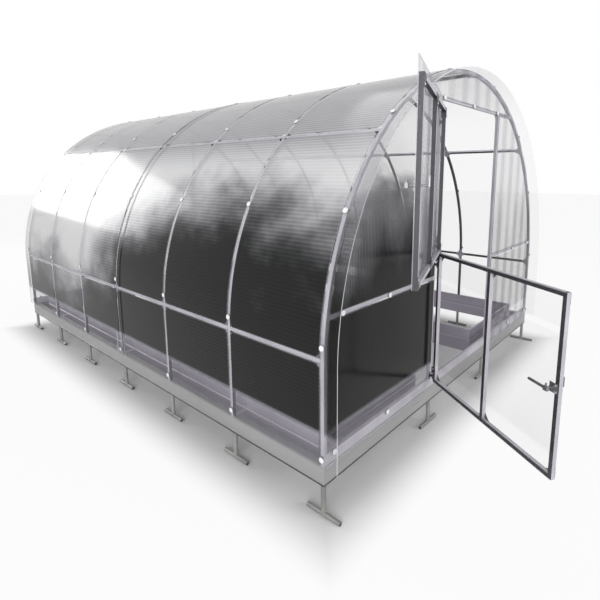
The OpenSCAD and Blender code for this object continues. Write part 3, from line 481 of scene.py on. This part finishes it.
def sheetMaterial(name, values, leafTurn=0.0):
    material, tree, shader = startMaterial(name)
    place = splitVector(tree, objectPoint(tree, turn=(0, 0, leafTurn)))
    x, y, z = place
    if values["curved"]:
        along = arcLength(tree, x, z)
        pastEnds = offTube(tree, maths(tree, "ABSOLUTE", y), frameEndY)
        offTubes = tunnelClear(tree, y, along, pastEnds)
        # a thinner film of painted shade and reflection on the overhang, so that the gable frame shows
        # through it
        film = between(tree, pastEnds, 1.0, sheetBands["overhang"])
    else:
        along = x
        offTubes = gableClear(tree, x, z)
        film = 1.0
    drift = noise(tree, objectPoint(tree, values["drift"][0]), *values["drift"][1:])
    waved = maths(tree, "MULTIPLY_ADD", drift, values["wave"] * 2, along)
    flute = maths(tree, "SINE", maths(tree, "MULTIPLY", waved, 2 * math.pi / values["pitch"]))
    line = ramp(tree, flute, *values["lineFrom"])
    # 0 towards the clear end by the doorway on the right
    behind = ramp(tree, y, *values["clearEndY"])
    away = maths(tree, "MAXIMUM", behind, ramp(tree, x, *values["clearEndX"], 1.0, 0.0))
    shadeAndReflection = paintedShadeAndReflection(tree, values, place, offTubes, away)
    haze = sheetHaze(tree, values, place, offTubes)
    veil = sheetVeil(tree, values, place, offTubes, film, shadeAndReflection, haze)

    colour = blendColours(tree, veil, values["clear"], values["veil"])
    colour = blendColours(tree, haze, colour, values["haze"])
    # painted shade and reflection: the dark film colour
    colour = blendColours(tree, shadeAndReflection, colour, values["shadeReflectionColour"])
    tint = product(tree, line, between(tree, shadeAndReflection, *values["lineTint"]))
    colour = blendColours(tree, tint, colour, values["edge"])

    band = maths(tree, "SINE", maths(tree, "MULTIPLY", waved, 2 * math.pi / values["bandPitch"]))
    solid = product(
        tree, between(tree, away, values["clearShare"], 1.0), values["alphaClear"],
        between(tree, offTubes, values["tubeShare"], 1.0))
    bands = ramp(tree, band, *values["bandFrom"])
    for share, alpha in ((line, "lineAlpha"), (bands, "banding"), (haze, "alphaHaze"), (veil, "alphaVeil")):
        solid = maths(tree, "MULTIPLY_ADD", share, values[alpha], solid)
    # the painted shade and reflection film also makes the sheet less clear
    filmed = product(tree, shadeAndReflection, film)
    solid = maths(tree, "MULTIPLY_ADD", filmed, values["alphaShadeReflection"], solid, clamp=True)

    # the cut ends of the sheet catch the light
    facing = splitVector(tree, objectNormal(tree))[values["cutAxis"]]
    cutEnd = ramp(tree, maths(tree, "ABSOLUTE", facing), *values["cutFrom"])
    colour = blendColours(tree, cutEnd, colour, values["edge"])
    solid = maths(tree, "MAXIMUM", solid, product(tree, cutEnd, values["cutAlpha"]))
    join(tree, colour, shader.inputs["Base Color"])
    join(tree, solid, shader.inputs["Alpha"])
    join(tree, between(tree, shadeAndReflection, *values["gloss"]), shader.inputs["Specular IOR Level"])
    shader.inputs["Roughness"].default_value = values["roughness"]
    shader.inputs["IOR"].default_value = values["ior"]
    addBump(tree, shader, flute, *values["bump"])
    return material


# washers: moulded white cap over a rubber ring

washerCap = {
    "tones": ((0.80, 0.80, 0.82), (0.92, 0.92, 0.93)), "scale": 60.0, "detail": 3.0,
    "roughness": 0.45, "bump": (0.1, 0.0004),
}
washerRubber = {
    "tones": ((0.012, 0.012, 0.012), (0.035, 0.035, 0.035)), "scale": 150.0, "detail": 3.0,
    "roughness": 0.7, "bump": (0.2, 0.0004),
}


def mottledMaterial(name, values):
    material, tree, shader = startMaterial(name)
    mottled = noise(tree, objectPoint(tree), values["scale"], values["detail"])
    join(tree, blendColours(tree, mottled, *values["tones"]), shader.inputs["Base Color"])
    shader.inputs["Roughness"].default_value = values["roughness"]
    addBump(tree, shader, mottled, *values["bump"])
    return material


# the first rule that fits a node's name gives its finish

finishRules = [
    ("^roof_sheet", "tunnelSheet"),
    ("^gable_sheet_front_left$", "gableSheet"),
    ("^gable_sheet_front_(right|top)$", "bandedSheet"),
    ("^gable_sheet_back$", "backSheet"),
    ("^lower_door_sheet$", "lowerLeafSheet"),
    ("^upper_door_sheet$", "upperLeafSheet"),
    ("caps$", "washerCap"),
    ("rings$", "washerRubber"),
    ("^bed_(left|right)$", "bedSteel"),
    ("latch", "latchSteel"),
    # the hinges and the door gussets are coloured near black; on the gussets this is painted shade
    ("hinge|door_gussets$", "darkSteelAndShade"),
    ("^base_(left|right)_beams$", "beamAlongY"),
    ("^base_", "beamAlongX"),
    ("screws", "screwZinc"),
    ("^ground_anchors$", "anchorZincPaintedShade"),
    ("^lower_door_frame$", "lowerLeafZincPaintedShade"),
    ("^upper_door_frame$", "upperLeafZincPaintedShade"),
    ("^(arch_[2-9]|rails_|purlins_|ridge_)", "innerZincPaintedShade"),
    ("", "tubeZinc"),
]


metals = {
    "tubeZinc": tubeZinc, "innerZincPaintedShade": innerZincPaintedShade, "anchorZincPaintedShade": anchorZincPaintedShade, "screwZinc": screwZinc,
    "lowerLeafZincPaintedShade": lowerLeafZincPaintedShade, "upperLeafZincPaintedShade": upperLeafZincPaintedShade,
    "darkSteelAndShade": darkSteelAndShade, "latchSteel": latchSteel, "bedSteel": bedSteel,
    "beamAlongX": beamAlongX, "beamAlongY": beamAlongY,
}
sheets = {
    "tunnelSheet": (tunnelSheet, 0.0), "gableSheet": (gableSheet, 0.0),
    "bandedSheet": (bandedSheet, 0.0), "backSheet": (backSheet, 0.0),
    "lowerLeafSheet": (lowerLeafSheet, leafTurns["lower"]),
    "upperLeafSheet": (upperLeafSheet, leafTurns["upper"]),
}
washers = {"washerCap": washerCap, "washerRubber": washerRubber}


def makeFinishes():
    finishes = {name: metalMaterial(name, values) for name, values in metals.items()}
    for name, (values, turn) in sheets.items():
        finishes[name] = sheetMaterial(name, values, turn)
    for name, values in washers.items():
        finishes[name] = mottledMaterial(name, values)
    print("made", len(finishes), "finishes")
    return finishes


def dressNodes(finishes):
    for name, node in nodes.items():
        chosen = next(finish for pattern, finish in finishRules if re.search(pattern, name))
        mesh = node.data
        mesh.materials.clear()
        mesh.materials.append(finishes[chosen])
        for face in mesh.polygons:
            face.material_index = 0
    print("materials assigned")


makeCamera(camera)
makeStudio(studio)
dressNodes(makeFinishes())

scene = bpy.context.scene
scene.view_settings.view_transform = "Standard"
